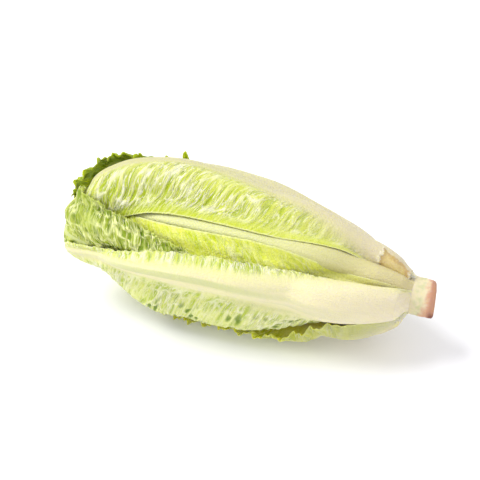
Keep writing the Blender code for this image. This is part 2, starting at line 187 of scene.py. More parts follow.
class Recipe:
    """The nodes of one material, added in the order that they are mixed. glow is how much
    light the tissue lets through, and glow_reach how far, in metres."""

    def __init__(self, name, roughness, glow, glow_reach):
        self.material = bpy.data.materials.new(name)
        self.material.use_nodes = True
        self.tree = self.material.node_tree
        self.shader = self.tree.nodes["Principled BSDF"]
        self.shader.inputs["Roughness"].default_value = roughness
        self.shader.inputs["Subsurface Weight"].default_value = glow
        self.shader.inputs["Subsurface Radius"].default_value = LIGHT_SPREAD
        self.shader.inputs["Subsurface Scale"].default_value = glow_reach
        self.shader.inputs["Specular IOR Level"].default_value = WAXY_SHINE
        self.place = self.tree.nodes.new("ShaderNodeTexCoord").outputs["Object"]

    def node(self, kind, **settings):
        made = self.tree.nodes.new(kind)
        for setting, value in settings.items():
            setattr(made, setting, value)
        return made

    def put(self, socket, value):
        """Links an output, or sets a plain value."""
        if isinstance(value, bpy.types.NodeSocket):
            self.tree.links.new(value, socket)
        elif isinstance(value, tuple) and len(value) == 3 and socket.type == "RGBA":
            socket.default_value = (*value, 1)
        else:
            socket.default_value = value

    def mark(self, name):
        return self.node("ShaderNodeAttribute", attribute_name=name).outputs["Fac"]

    def math(self, operation, first, second=0.5):
        made = self.node("ShaderNodeMath", operation=operation)
        self.put(made.inputs[0], first)
        self.put(made.inputs[1], second)
        return made.outputs[0]

    def times(self, first, second):
        return self.math("MULTIPLY", first, second)

    def most(self, first, second):
        return self.math("MAXIMUM", first, second)

    def between(self, value, low, high, to_low=0.0, to_high=1.0):
        """The value from low to high, carried over to the range from to_low to to_high."""
        made = self.node("ShaderNodeMapRange")
        for socket, given in zip(made.inputs, (value, low, high, to_low, to_high)):
            self.put(socket, given)
        return made.outputs[0]

    def mix(self, amount, first, second):
        made = self.node("ShaderNodeMix", data_type="RGBA")
        self.put(made.inputs["Factor"], amount)
        self.put(made.inputs["A"], first)
        self.put(made.inputs["B"], second)
        return made.outputs["Result"]

    def cloud(self, size, detail=3.0):
        """Soft noise whose patches are about this long, in metres."""
        made = self.node("ShaderNodeTexNoise")
        self.put(made.inputs["Vector"], self.place)
        made.inputs["Scale"].default_value = 1 / size
        made.inputs["Detail"].default_value = detail
        return made.outputs["Fac"]

    def streaks(self, width, length, wandering):
        """Noise drawn out along the side veins, by the leaf's own rows and runs, in metres."""
        grid = self.node("ShaderNodeCombineXYZ")
        self.put(grid.inputs[0], self.times(self.mark("vein_row"), CM / width))
        self.put(grid.inputs[1], self.times(self.mark("vein_run"), CM / length))
        made = self.node("ShaderNodeTexNoise")
        self.put(made.inputs["Vector"], grid.outputs[0])
        made.inputs["Scale"].default_value = 1
        made.inputs["Detail"].default_value = 2
        made.inputs["Distortion"].default_value = wandering
        return made.outputs["Fac"]

    def net(self, size):
        """Distance from the walls of small cells of this size, in metres."""
        made = self.node("ShaderNodeTexVoronoi", feature="DISTANCE_TO_EDGE")
        self.put(made.inputs["Vector"], self.place)
        made.inputs["Scale"].default_value = 1 / size
        return made.outputs["Distance"]

    def finish(self, colour, roughness, height):
        self.put(self.shader.inputs["Base Color"], colour)
        self.put(self.shader.inputs["Roughness"], roughness)
        bump = self.node("ShaderNodeBump")
        bump.inputs["Distance"].default_value = BUMP_DEPTH
        self.put(bump.inputs["Height"], height)
        self.put(self.shader.inputs["Normal"], bump.outputs[0])
        return self.material


FLESH_GLOW = 0.3
FLESH_GLOW_REACH = 3 * MM
MOTTLE_SIZE = 4 * MM
SPECK_SIZE = 1.4 * MM

BUTT_CREAM = (0.72, 0.64, 0.43)
BUTT_RING = (0.58, 0.57, 0.33)
CUT_PINK = (0.60, 0.31, 0.20)
CUT_BROWN = (0.16, 0.035, 0.02)

RING_STARTS = (0.45, 0.6)
RING_ENDS = (1.0, 0.75)
BRUISE_ENDS = (0.46, 0.24)
SPECKS_END = (0.42, 0.3)
EDGE_ENDS = (0.34, 0.2)
RIM_STARTS = (0.74, 0.9)


def cut_stem_finish():
    """Cream skin with a green-grey ring, bruised pink near the cut, which has a brown rim.
    Where each fades in or out is in cm from the cut, and for the rim in shares of the radius."""
    flesh = Recipe("cut_stem", 0.45, FLESH_GLOW, FLESH_GLOW_REACH)
    mottle = flesh.cloud(MOTTLE_SIZE)
    fine = flesh.cloud(SPECK_SIZE)
    from_cut = flesh.mark("from_cut")
    low_down = flesh.mark("low_down")
    ring = flesh.times(flesh.between(from_cut, *RING_STARTS), flesh.between(from_cut, *RING_ENDS))
    ring = flesh.times(ring, flesh.between(mottle, 0.38, 0.55, 0.15, 1.0))
    skin = flesh.mix(ring, BUTT_CREAM, BUTT_RING)
    uneven = flesh.between(mottle, 0.35, 0.65, -0.08, 0.1)
    bruised = flesh.math("ADD", uneven, flesh.times(low_down, 0.2))
    near_cut = flesh.between(flesh.math("SUBTRACT", from_cut, bruised), *BRUISE_ENDS)
    skin = flesh.mix(flesh.times(near_cut, 0.9), skin, CUT_PINK)
    specks = flesh.times(flesh.between(fine, 0.68, 0.74), flesh.between(from_cut, *SPECKS_END, 0.0, 0.8))
    skin = flesh.mix(specks, skin, CUT_BROWN)
    edge = flesh.times(flesh.between(from_cut, *EDGE_ENDS), flesh.most(low_down, 0.25))
    skin = flesh.mix(edge, skin, CUT_BROWN)
    rim = flesh.between(flesh.mark("out_from_axis"), *RIM_STARTS)
    face = flesh.mix(rim, CUT_PINK, CUT_BROWN)
    face = flesh.mix(flesh.between(fine, 0.5, 0.75, 0.0, 0.5), face, CUT_BROWN)
    colour = flesh.mix(flesh.mark("on_cut_face"), skin, face)
    return flesh.finish(colour, flesh.between(mottle, 0, 1, 0.4, 0.65), fine)


stem = butt_and_core()
stem.data.materials.append(cut_stem_finish())
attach(stem, "root")
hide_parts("stem")


# The heart leaves
# Seven young leaves round the tip of the core, each further up it and at the golden angle to
# the last. Thin pale tissue, shut away from the light by the leaves outside them.

WIDTH_KNOTS = np.array([0, 0.13, 0.35, 0.7, 0.88])
TURN_KNOTS = np.array([0, 0.35, 0.7, 1])
TIP_HALF_WIDTH = 2.5 * MM
BLADE = 0.6 * MM
RIB_KNOTS = np.array([0, 0.12, 0.35, 0.7, 1])
RIB_THICKNESS = np.array([2.4, 3.2, 3.4, 1.8, 0.2]) * MM
RIB_HALF_WIDTH = np.array([7, 10, 8.5, 5, 2]) * MM
RIB_ROUNDING = 1.5
THICKEST = 5 * MM
OUTER_FOOT = 11 * MM
FOOT_TAPER = (-7 * MM, 12 * MM)


@dataclass
class Leaf:
    """One leaf. Distances run along the head's outline from the cut end, and turns round its
    axis, from 0 degrees at the front to 90 on top. Shares are of the leaf's length, and reach
    is 0 at the midrib and 1 at the margin. A tuple of five goes from the foot to near the
    tip, and a pair is for the side below the midrib and for the upper one.

    foot, tip: where it starts and ends
    turns: of the midrib at the foot, the shoulder, the belly and the tip, in degrees
    upper, lower: half widths either side of the midrib, in mm
    stand, lift, lower_lift: how far the leaf, its upper edge and its lower edge stand off
        the leaves beneath, in mm
    rounding: the share where the tip starts to round off
    rib, cut: size of the midrib, and length of a slanted cut across its foot
    rows, columns: of the mesh, with the columns below and above the midrib
    vein_step, vein_rise: of the side veins
    crumple, crumple_size: height of the crumpled streaks, and their width and length
    blister, pits: height of the blisters between the veins, and depth of the pits, painted dark as shade
    smooth_edge, smooth_foot: the reach where the crumple ends, and the shares it starts over
    rib_spread, least_rib: how far past the midrib the tissue stays smooth and pale
    hug_lower, hug_upper, hug_tip: how much of the gap beneath the edges and the tip close
    hug_from, hug_gap: the reaches they close it over, and the gap that stays
    rise, smooth: how far the whole leaf is raised, and the grid cells it is evened over
    lobes: long single teeth of the lower margin: middle and half length in mm, and a share
        of the full height
    frill, frill_step, notch, notch_step: size and length of the margin's waves and teeth
    seed: of its random waves, each of which adds a number of its own"""

    name: str
    foot: float
    tip: float
    turns: tuple
    upper: tuple = (7, 14, 26, 34, 34)
    lower: tuple = (7, 14, 26, 34, 34)
    stand: tuple = (0, 0, 0, 0, 0)
    lift: tuple = (0, 0, 0, 0, 0)
    lower_lift: tuple = (0, 0, 0, 0, 0)
    rounding: float = 0.72
    rib: float = 1.0
    cut: float = 0.0
    rows: int = 76
    columns: tuple = (13, 13)
    vein_step: float = 5.5 * MM
    vein_rise: tuple = (0.4 * MM, 0.4 * MM)
    crumple: tuple = (0.3 * MM, 0.3 * MM)
    crumple_size: tuple = (2.3 * MM, 9 * MM)
    blister: float = 0.3 * MM
    pits: float = 0.0
    smooth_edge: tuple = (1.1, 1.1)
    smooth_foot: tuple = (0.1, 0.32)
    rib_spread: tuple = (1, 1)
    least_rib: float = 0.0
    hug_lower: tuple = (0.8, 0.8, 0.8, 0.8, 0.8)
    hug_upper: tuple = (0.8, 0.8, 0.8, 0.8, 0.8)
    hug_tip: float = 0.0
    hug_from: tuple = (0.3, 0.9)
    hug_gap: float = 0.3 * MM
    rise: float = 0.0
    smooth: tuple = (2, 2)
    lobes: tuple = ()
    frill: tuple = (0.3 * MM, 0.3 * MM)
    frill_step: float = 13 * MM
    notch: float = 0.2 * MM
    notch_step: float = 5 * MM
    seed: int = 1


def share_along(leaf, distance):
    """0 at the leaf's foot and 1 at its tip."""
    return np.clip((distance - leaf.foot) / (leaf.tip - leaf.foot), 0, 1)


def half_width(leaf, distance, side):
    """Half width on one side of the midrib: side is 1 towards greater turns, or -1."""
    share = share_along(leaf, distance)
    upper = through(WIDTH_KNOTS, np.array(leaf.upper) * MM, share)
    lower = through(WIDTH_KNOTS, np.array(leaf.lower) * MM, share)
    closing = np.clip((share - leaf.rounding) / (1 - leaf.rounding), 0, 1)
    return TIP_HALF_WIDTH + (np.where(side > 0, upper, lower) - TIP_HALF_WIDTH) * np.sqrt(1 - closing**2)


def rib_width(leaf, distance):
    return leaf.rib * through(RIB_KNOTS, RIB_HALF_WIDTH, share_along(leaf, distance))


def thickness(leaf, distance, from_rib):
    """The blade, and the midrib that stands out of it. A leaf cut off at a slant thins from
    the length of its cut down to its foot, and one that grows from the core tapers there."""
    rib = leaf.rib * through(RIB_KNOTS, RIB_THICKNESS, share_along(leaf, distance))
    rib = rib * np.clip(1 - (from_rib / rib_width(leaf, distance)) ** 2, 0, 1) ** RIB_ROUNDING
    if leaf.cut:
        rib = np.minimum(rib, THICKEST * np.clip((distance - leaf.foot) / leaf.cut, 0, 1))
    if leaf.foot > OUTER_FOOT:
        rib = rib * ease(*FOOT_TAPER, distance - leaf.foot)
    return BLADE + rib


NOTCH_SKEW = 1.5
NOTCH_MIDDLE = 0.4
NOTCH_WANDER = 0.6
NOTCH_WANDER_LENGTH = 9 * MM
NOTCH_SPREAD = 0.7
NOTCH_SPREAD_LENGTH = 7 * MM
LOBE_LENGTH = 10 * MM
LOBE_RISE = 6 * MM


def notches(leaf, level, side):
    """How far the teeth of the margin stand out, or in where this is negative. They lean
    towards the tip, and no two are alike."""
    wander = NOTCH_WANDER * waver(level / NOTCH_WANDER_LENGTH, side, leaf.seed + 11)
    beat = level / leaf.notch_step + wander
    spread = NOTCH_SPREAD * waver(level / NOTCH_SPREAD_LENGTH, side + 4, leaf.seed)
    return leaf.notch * ((beat - np.floor(beat)) ** NOTCH_SKEW - NOTCH_MIDDLE + spread)


def lobe(leaf, distance, side):
    """0 to 1 where a single long tooth stands out of the lower margin."""
    total = np.zeros(distance.shape)
    for middle, half, height in leaf.lobes:
        total += height * np.exp(-(((distance - middle * MM) / (half * MM)) ** 2))
    return total * (side < 0)


COLUMN_SPREAD = 1.15
ROW_SPREAD = 1.25
VEIN_LEAN = 0.5
LEAN_PASSES = 3
TIP_ROW_GAP = 0.3


def lattice(leaf):
    """The leaf's lattice, whose rows run from the midrib out towards the tip, as the side
    veins do: where each row leaves the midrib, distance, distance from the midrib, and
    reach."""
    row = np.linspace(0, 1, leaf.rows + 1)[:, None]
    row = np.sin(row * ROW_SPREAD) / math.sin(ROW_SPREAD)
    below, above = leaf.columns
    across = np.concatenate([np.linspace(-1, 0, below + 1), np.linspace(0, 1, above + 1)[1:]])
    across = across[None, :] + 0 * row
    side = np.sign(across)
    reach = np.abs(across) ** COLUMN_SPREAD
    level = leaf.foot + row * (leaf.tip - leaf.foot) + 0 * across
    lean = VEIN_LEAN * ease(0.02, 0.2, row) * (1 - row**4)
    distance = level
    for _ in range(LEAN_PASSES):
        distance = level + lean * reach * half_width(leaf, distance, side)
        distance = np.minimum(distance, leaf.tip - (leaf.tip - level) * TIP_ROW_GAP)
    tooth = notches(leaf, level, side) * ease(0.8, 1, reach) * ease(0.12, 0.3, row)
    tooth = tooth + lobe(leaf, distance, side) * LOBE_LENGTH * ease(0.6, 1, reach)
    from_rib = side * (reach * half_width(leaf, distance, side) + tooth)
    return level, distance, from_rib, reach


ROW_WANDER = 0.55
ROW_WANDER_LENGTH = 13 * MM
FINE_WANDER = 0.16
FINE_WANDER_PATCH = (6 * MM, 8 * MM)
FORK_NEAREST = 7 * MM
FORK_RANGE = 14 * MM
FORK_SLOPE = 0.25
FORK_MOST = 0.45
FORK_STRENGTH = 0.8
VEIN_HALF_WIDTH = 0.85 * MM
VEIN_THINNING = 0.4 * MM
CROSSING_HALF_WIDTH = 0.6 * MM
CROSSING_STRENGTH = 0.45
CROSSINGS_LEFT_OUT = 0.4
SHORTEST_CELL = 4 * MM
CELL_RANGE = 6 * MM
RUN_WANDER = 0.5
RUN_WANDER_PATCH = (3 * MM, 5 * MM)


def uneven(level, out, patch, seed):
    """Smooth random waves in patches of this length up the midrib and width out from it."""
    return waver(level / patch[0], out / patch[1], seed)


def vein_net(leaf, level, out, side, reach):
    """Side veins that fork, short veins across between them, and the cells that these leave:
    how much a point is on a vein and on a crossing, how far it is into its cell's bulge, and
    the cell's two numbers."""
    seed = leaf.seed
    wander = ROW_WANDER * waver(level / ROW_WANDER_LENGTH, side, seed)
    wander = wander + FINE_WANDER * uneven(level, out, FINE_WANDER_PATCH, seed + 10)
    beat = level / leaf.vein_step + 0.5 * side + wander
    near = np.floor(beat + 0.5)
    fork = FORK_NEAREST + FORK_RANGE * chance(near, side, seed + 12)
    apart = np.clip((out - fork) * FORK_SLOPE, 0, FORK_MOST * leaf.vein_step)
    apart = apart * np.sign(chance(near, side, seed + 13) - 0.5)
    width = VEIN_HALF_WIDTH - VEIN_THINNING * reach
    off_line = (beat - near) * leaf.vein_step
    branch = FORK_STRENGTH * np.exp(-(((off_line - apart) / width) ** 2))
    vein = np.maximum(np.exp(-((off_line / width) ** 2)), branch)
    vein = vein * (0.3 + 0.7 * chance(near, side, seed))

    row = np.floor(beat)
    step = SHORTEST_CELL + CELL_RANGE * chance(row, side, seed + 1)
    wander = RUN_WANDER * uneven(level, out, RUN_WANDER_PATCH, seed + 3)
    pace = out / step + chance(row, side, seed + 2) + wander
    run = np.floor(pace)
    into_run = pace - run
    off_crossing = np.minimum(into_run, 1 - into_run) * step
    crossing = np.exp(-((off_crossing / CROSSING_HALF_WIDTH) ** 2))
    crossing = crossing * (chance(row, np.floor(pace + 0.5), seed + 4) > CROSSINGS_LEFT_OUT)
    bulge = np.sin(math.pi * (beat - row)) * np.sin(math.pi * into_run) ** 0.6
    return vein, CROSSING_STRENGTH * crossing, bulge, row, run


BEND = 0.8 * MM
BEND_PATCH = (7 * MM, 6 * MM)
FINE_STREAK = 0.6
CREASE_WIDTH = 1.3
CREASE_LENGTH = 0.8
CREASE_SHARPNESS = 2.2


def crumpled_folds(leaf, level, out, side):
    """Streaks and sharp creases of crumpled tissue, drawn out along the side veins."""
    width, length = leaf.crumple_size
    seed = leaf.seed
    bent = level + BEND * uneven(level, out, BEND_PATCH, seed + 14)
    broad = waver(bent / width, out / length + 3 * side, seed + 15)
    fine = waver(bent / (FINE_STREAK * width), out / (FINE_STREAK * length) + 7 * side, seed + 16)
    streak = 0.65 * broad + 0.45 * fine
    crease = waver(bent / (CREASE_WIDTH * width), out / (CREASE_LENGTH * length) + 5 * side, seed + 19)
    crease = np.clip(1 - CREASE_SHARPNESS * np.abs(crease), 0, 1) ** 1.5
    return streak, crease


CRUMPLE_PATCH = (19 * MM, 13 * MM)
ROLL_HEIGHT = 0.3 * MM
ROLL_PATCH = (17 * MM, 12 * MM)
STRAND_HEIGHT = 0.06 * MM
STRAND_WIDTH = 1.3 * MM
STRAND_LENGTH = 70 * MM
BROAD_STRAND_WIDTH = 4 * MM
BROAD_STRAND_LENGTH = 50 * MM
PIT_DEPTH = 0.5 * MM
PITLESS_SHARE = 0.55
FULL_CRUMPLE = 0.5 * MM


def relief(leaf, level, distance, from_rib, reach):
    """How the outer face stands out, and marks for the material: veins, crumpled folds, whose
    ridges get a painted highlight and whose hollows painted shade, blisters in the cells, pits
    painted dark as shade, and fine lengthwise strands on the midrib."""
    side = np.where(from_rib < 0, -1, 1)
    upper = (from_rib > 0).astype(int)
    out = np.abs(from_rib)
    seed = leaf.seed
    share = share_along(leaf, distance)
    pale = np.maximum(rib_width(leaf, distance), leaf.least_rib) * np.array(leaf.rib_spread)[upper]
    off_rib = np.clip(out / pale, 0, 3)
    smooth_edge = np.array(leaf.smooth_edge)[upper]
    wild = ease(0.75, 1.6, off_rib) * ease(*leaf.smooth_foot, share)
    wild = wild * ease(smooth_edge, smooth_edge - 0.22, reach)

    vein, crossing, bulge, row, run = vein_net(leaf, level, out, side, reach)
    vein = np.maximum(vein, crossing)
    veins = np.array(leaf.vein_rise)[upper] * ease(0.55, 1.25, off_rib) * ease(0.1, 0.36, share)
    veins = veins * (1 - 0.3 * reach) * vein
    swelling = chance(row, run, seed + 5) * 1.5 - 1
    blisters = leaf.blister * wild * bulge * swelling

    streak, crease = crumpled_folds(leaf, level, out, side)
    patchy = 0.65 + 0.5 * uneven(level, out, CRUMPLE_PATCH, seed + 17)
    crumpled = np.array(leaf.crumple)[upper] * wild * patchy
    folds = crumpled * (0.8 * streak + 0.7 * crease)
    rolling = ROLL_HEIGHT * wild * uneven(level, out, ROLL_PATCH, seed + 6)

    strand = waver(from_rib / STRAND_WIDTH, level / STRAND_LENGTH, seed + 7)
    broad = waver(from_rib / BROAD_STRAND_WIDTH, level / BROAD_STRAND_LENGTH, seed + 21)
    strand = strand + 0.7 * broad
    strands = STRAND_HEIGHT * (1 - ease(0.75, 1.7, off_rib)) * strand
    pit = (chance(row, run, seed + 18) > PITLESS_SHARE) * ease(0.35, 0.8, bulge) * leaf.pits
    pit = pit * ease(0.42, 0.62, reach) * (upper == 0) * ease(0.2, 0.3, share) * ease(0.85, 0.7, share)
    raised = veins + folds + blisters + rolling + strands - PIT_DEPTH * pit

    strength = crumpled / FULL_CRUMPLE
    sunk = strength * (-streak - 0.4 * crease + 0.05) * 4 - wild * leaf.blister / MM * bulge * swelling
    marks = {
        "off_rib": off_rib,
        "reach": reach,
        "along": share,
        "strand": strand,
        "crumpled": np.clip(strength, 0, 1.5),
        "vein_row": level / CM + 37 * side,
        "vein_run": out / CM,
        "on_vein": np.clip(vein, 0, 1) * ease(0.5, 1.1, off_rib) * ease(0.12, 0.4, share),
        # on_ridge marks where a painted highlight goes, on paler tissue, and in_hollow and in_pit where
        # painted shade goes.
        "on_ridge": np.clip(strength * (crease - 0.45) * 2.2, 0, 1),
        "in_hollow": np.clip(sunk, 0, 1),
        "in_pit": pit,
    }
    return raised, marks


FRILL_WANDER = 2.2
FRILL_WANDER_LENGTH = 20 * MM
SMALL_FRILL = 0.37
SMALL_WANDER = 2.5
SMALL_WANDER_LENGTH = 8 * MM


def frilled(leaf, level, from_rib, reach, share):
    """How far the ruffled margin waves out from the head and back."""
    size = np.array(leaf.frill)[(from_rib > 0).astype(int)]
    side = np.sign(from_rib)
    wave = 2 * math.pi * level / leaf.frill_step
    large = wave + FRILL_WANDER * waver(level / FRILL_WANDER_LENGTH, side, leaf.seed + 8)
    small = wave / SMALL_FRILL + SMALL_WANDER * waver(level / SMALL_WANDER_LENGTH, side, leaf.seed + 9)
    wave = 0.35 + 0.6 * np.sin(large) + 0.35 * np.sin(small)
    return size * wave * ease(0.66, 1, reach) ** 1.4 * ease(0.1, 0.3, share) * ease(1, 0.93, share)


def grow(leaf, finish):
    """A leaf's piece before it is laid: outer face, inner face and the rim round them."""
    level, distance, from_rib, reach = lattice(leaf)
    _, marks = relief(leaf, level, distance, from_rib, reach)
    size = level.size
    outer = np.arange(size).reshape(level.shape)
    sheet = np.stack([outer[:-1, :-1], outer[:-1, 1:], outer[1:, 1:], outer[1:, :-1]], axis=-1)
    sheet = sheet.reshape(-1, 4)
    border = np.concatenate([outer[0, :-1], outer[:-1, -1], outer[-1, :0:-1], outer[:0:-1, 0]])
    ahead = np.roll(border, -1)
    rim = np.stack([ahead, border, border + size, ahead + size], axis=-1)
    faces = np.concatenate([sheet, sheet[:, ::-1] + size, rim])
    marks["from_foot"] = (distance - leaf.foot) / MM
    marks["out_of_rib"] = from_rib / MM
    twice = {mark: np.concatenate([values.ravel(), values.ravel()]) for mark, values in marks.items()}
    piece = closed_mesh(leaf.name + "_look", np.zeros((2 * size, 3)), faces.tolist(), twice)
    piece.data.materials.append(finish)
    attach(piece, "root")
    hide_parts(leaf.name)
    head.append((leaf, piece))


@dataclass
class Tints:
    """The colours of one leaf: at its foot, on its midrib and the strands in it, on its veins
    and crumpled ridges, where paler tissue carries a painted highlight, in the blade by the
    midrib and by the margin, in its hollows, where greener tissue carries painted shade, in its
    pits, which are painted shade, and along its rim, which starts at the reach rim_from. The
    blade takes on the hollows' colour towards the tip as painted shade, by the share given for
    that, and glow is how much light the tissue lets through, and how far."""

    foot: tuple = (0.70, 0.62, 0.39)
    rib: tuple = (0.72, 0.70, 0.38)
    strand: tuple = (0.64, 0.65, 0.26)
    vein: tuple = (0.78, 0.79, 0.33)
    # Paler tissue with a painted highlight, on the crumpled ridges.
    ridge: tuple = (0.92, 0.93, 0.54)
    blade: tuple = (0.66, 0.71, 0.13)
    margin: tuple = (0.56, 0.64, 0.04)
    # Greener tissue with painted shade in the hollows, also used for the painted shade towards the tip.
    hollow: tuple = (0.46, 0.58, 0.012)
    # Painted shade in the pits.
    pit: tuple = (0.16, 0.26, 0.02)
    rim: tuple = (0.76, 0.78, 0.36)
    rim_from: float = 0.965
    # How much painted shade the blade takes on towards the tip.
    tip_shade: float = 0.0
    glow: tuple = (0.4, 1 * MM)


PATCH_SIZE = 12 * MM
GRAIN_SIZE = 1.1 * MM
CELL_SIZE = 1.6 * MM
WRINKLE_WIDTH = 1.9 * MM
WRINKLE_LENGTH = 10 * MM
FOOT_FADE = (0.5, 0.05)
RIB_FADE = (0.55, 1.45)
# Where the painted shade towards the tip fades in, as shares of the leaf's length.
TIP_SHADE_FADE = (0.5, 0.72)


def leaf_finish(name, tints, scarred=False):
    """Cool waxy tissue: a cream midrib that thins out into pale veins, and a blade between
    them that is greenest along the margin and in its hollows. The hollows, the pits and the
    blade towards the tip carry painted shade, and the crumpled ridges a painted highlight."""
    skin = Recipe(name, 0.4, *tints.glow)
    patches = skin.cloud(PATCH_SIZE)
    grain = skin.cloud(GRAIN_SIZE, detail=2.0)
    cells = skin.net(CELL_SIZE)
    wrinkle = skin.streaks(WRINKLE_WIDTH, WRINKLE_LENGTH, wandering=0.4)
    off_rib = skin.mark("off_rib")
    reach = skin.mark("reach")
    along = skin.mark("along")
    crumpled = skin.mark("crumpled")
    # The wrinkles' crests take a painted highlight, and their troughs painted shade.
    crest = skin.between(skin.math("ABSOLUTE", skin.math("SUBTRACT", wrinkle, 0.5)), 0.055, 0.0)
    trough = skin.between(wrinkle, 0.44, 0.3)

    greener = skin.times(reach, skin.between(patches, 0.3, 0.7, 0.7, 1.2))
    blade = skin.mix(greener, tints.blade, tints.margin)
    # Painted shade towards the tip, away from the midrib, in the hollows' colour.
    to_tip = skin.between(along, *TIP_SHADE_FADE, 0.0, tints.tip_shade)
    blade = skin.mix(skin.times(to_tip, skin.between(reach, 0.3, 0.6)), blade, tints.hollow)
    # Painted shade, over greener tissue, in the hollows and the wrinkles' troughs.
    hollow = skin.most(skin.mark("in_hollow"), skin.times(trough, crumpled))
    blade = skin.mix(hollow, blade, tints.hollow)
    blade = skin.mix(skin.between(cells, 0.0, 0.12, 0.14, 0.0), blade, tints.vein)
    # A painted highlight, over paler tissue, on the crumpled ridges and crests.
    ridge = skin.most(skin.mark("on_ridge"), skin.times(crest, crumpled))
    blade = skin.mix(skin.times(ridge, 0.95), blade, tints.ridge)
    blade = skin.mix(skin.times(skin.mark("on_vein"), 0.8), blade, tints.vein)
    # Painted shade in the pits.
    blade = skin.mix(skin.mark("in_pit"), blade, tints.pit)
    blade = skin.mix(skin.between(reach, tints.rim_from, 0.99, 0.0, 0.7), blade, tints.rim)

    rib = skin.mix(skin.between(skin.mark("strand"), -0.1, 0.8, 0.0, 0.9), tints.rib, tints.strand)
    colour = skin.mix(skin.between(off_rib, *RIB_FADE), rib, blade)
    paler = skin.times(skin.between(along, *FOOT_FADE), skin.between(off_rib, 0.6, 2.2, 1.0, 0.25))
    colour = skin.mix(paler, colour, tints.foot)
    if scarred:
        colour = dried_cut(skin, colour)

    folds = skin.times(crumpled, skin.math("ADD", crest, skin.times(wrinkle, 4)))
    height = skin.math("ADD", skin.times(grain, 0.5), skin.between(cells, 0.0, 0.25, 0.0, 0.5))
    height = skin.math("ADD", height, folds)
    return skin.finish(colour, skin.between(patches, 0.3, 0.7, 0.34, 0.48), height)


HEART_LEAVES = 7
FIRST_HEART = 11
HEART_TURN = 40
GOLDEN_ANGLE = 137.5
HEART_FOOT = 22 * MM
HEART_FOOT_STEP = 4.5 * MM
HEART_TIP = 236 * MM
HEART_TIP_STEP = 2 * MM

head = []
heart_finish = leaf_finish("heart_leaf", Tints())
for number in reversed(range(HEART_LEAVES)):
    heart = Leaf(
        f"leaf_{FIRST_HEART + number:02d}_heart",
        foot=HEART_FOOT + HEART_FOOT_STEP * number,
        tip=HEART_TIP - HEART_TIP_STEP * number,
        turns=(HEART_TURN + GOLDEN_ANGLE * number,) * 4,
        upper=(6, 14, 32, 42, 42),
        lower=(6, 14, 32, 42, 42),
        rounding=0.84,
        rib=0.75,
        seed=20 + number,
    )
    grow(heart, heart_finish)


# The low leaf
# An outer leaf on the side that the head lies on, almost all of it covered by the leaf that
# touches the table. The same tissue as the rest, a little pressed.

low = Leaf(
    "leaf_10_low",
    foot=20 * MM,
    tip=232 * MM,
    turns=(264, 264, 264, 264),
    rounding=0.8,
    rows=150,
    columns=(24, 24),
    seed=30,
)
grow(low, leaf_finish("low_leaf", Tints()))


# The leaf in the gap
# A younger leaf that shows between the top leaf and the band: mostly its broad cream stalk,
# which runs out as a pale midrib, with a strip of lime blade either side.

gap = Leaf(
    "leaf_09_gap",
    foot=9.5 * MM,
    tip=188 * MM,
    turns=(56, 54, 49, 46),
    upper=(4, 11, 26, 30, 30),
    lower=(4, 11, 26, 30, 30),
    rows=230,
    columns=(34, 34),
    crumple=(0.15 * MM, 0.15 * MM),
    blister=0.1 * MM,
    rib_spread=(1.2, 1.2),
    rise=1 * MM,
    smooth=(9, 3),
    seed=31,
)
gap_tints = Tints(
    foot=(0.64, 0.56, 0.31),
    rib=(0.71, 0.72, 0.36),
    strand=(0.65, 0.67, 0.29),
    blade=(0.72, 0.77, 0.16),
    margin=(0.56, 0.65, 0.04),
)
grow(gap, leaf_finish("gap_leaf", gap_tints))


# The ridge leaf
# A leaf behind the top one, on the far side of the head. Its thick white foot shows where
# the top leaf has been cut away.

ridge = Leaf(
    "leaf_08_ridge",
    foot=9.5 * MM,
    tip=230 * MM,
    turns=(118, 124, 132, 132),
    upper=(4.5, 12, 26, 34, 34),
    lower=(4.5, 12, 26, 34, 34),
    rounding=0.8,
    rows=215,
    columns=(30, 30),
    seed=32,
)
grow(ridge, leaf_finish("ridge_leaf", Tints(foot=(0.84, 0.80, 0.58))))


# The far side leaf
# An outer leaf low on the far side, which the photo does not show. It is taken to be like
# the leaves in front of it.

far_side = Leaf(
    "leaf_07_far_side",
    foot=9.5 * MM,
    tip=227 * MM,
    turns=(222, 222, 222, 222),
    rounding=0.8,
    rows=265,
    columns=(36, 36),
    seed=33,
)
grow(far_side, leaf_finish("far_side_leaf", Tints()))


# The band
# The smooth leaf that shows as a lime band between the front leaf and the gap. Thin tender
# tissue, with crinkles only along its upper margin and towards the tip.

band = Leaf(
    "leaf_06_band",
    foot=17 * MM,
    tip=222 * MM,
    turns=(14, 0, -6, 0),
    upper=(7.5, 16, 33, 38, 38),
    lower=(8, 14, 26, 32, 32),
    rows=310,
    columns=(26, 48),
    vein_rise=(0.2 * MM, 0.25 * MM),
    crumple=(0.15 * MM, 0.55 * MM),
    blister=0.2 * MM,
    hug_upper=(1, 1, 1, 1, 1),
    rise=0.8 * MM,
    frill=(0.2 * MM, 0.3 * MM),
    seed=34,
)
band_tints = Tints(
    rib=(0.72, 0.79, 0.07),
    strand=(0.68, 0.75, 0.06),
    vein=(0.80, 0.84, 0.20),
    ridge=(0.90, 0.92, 0.48),
    blade=(0.77, 0.83, 0.045),
    margin=(0.78, 0.84, 0.10),
    hollow=(0.58, 0.69, 0.01),
    rim=(0.82, 0.85, 0.40),
)
grow(band, leaf_finish("band_leaf", band_tints))


# The top leaf
# The big leaf whose cream midrib is the head's upper edge. Its foot was cut off at a slant,
# and the cut has dried to tan. The blade is crumpled into ridges along its pale veins.

CUT_LENGTH = 19
RAGGED_SIZE = 2.2 * MM
DRIED_TAN = (0.70, 0.57, 0.26)
DRIED_BROWN = (0.46, 0.26, 0.08)
LIP_WHITE = (0.86, 0.80, 0.58)


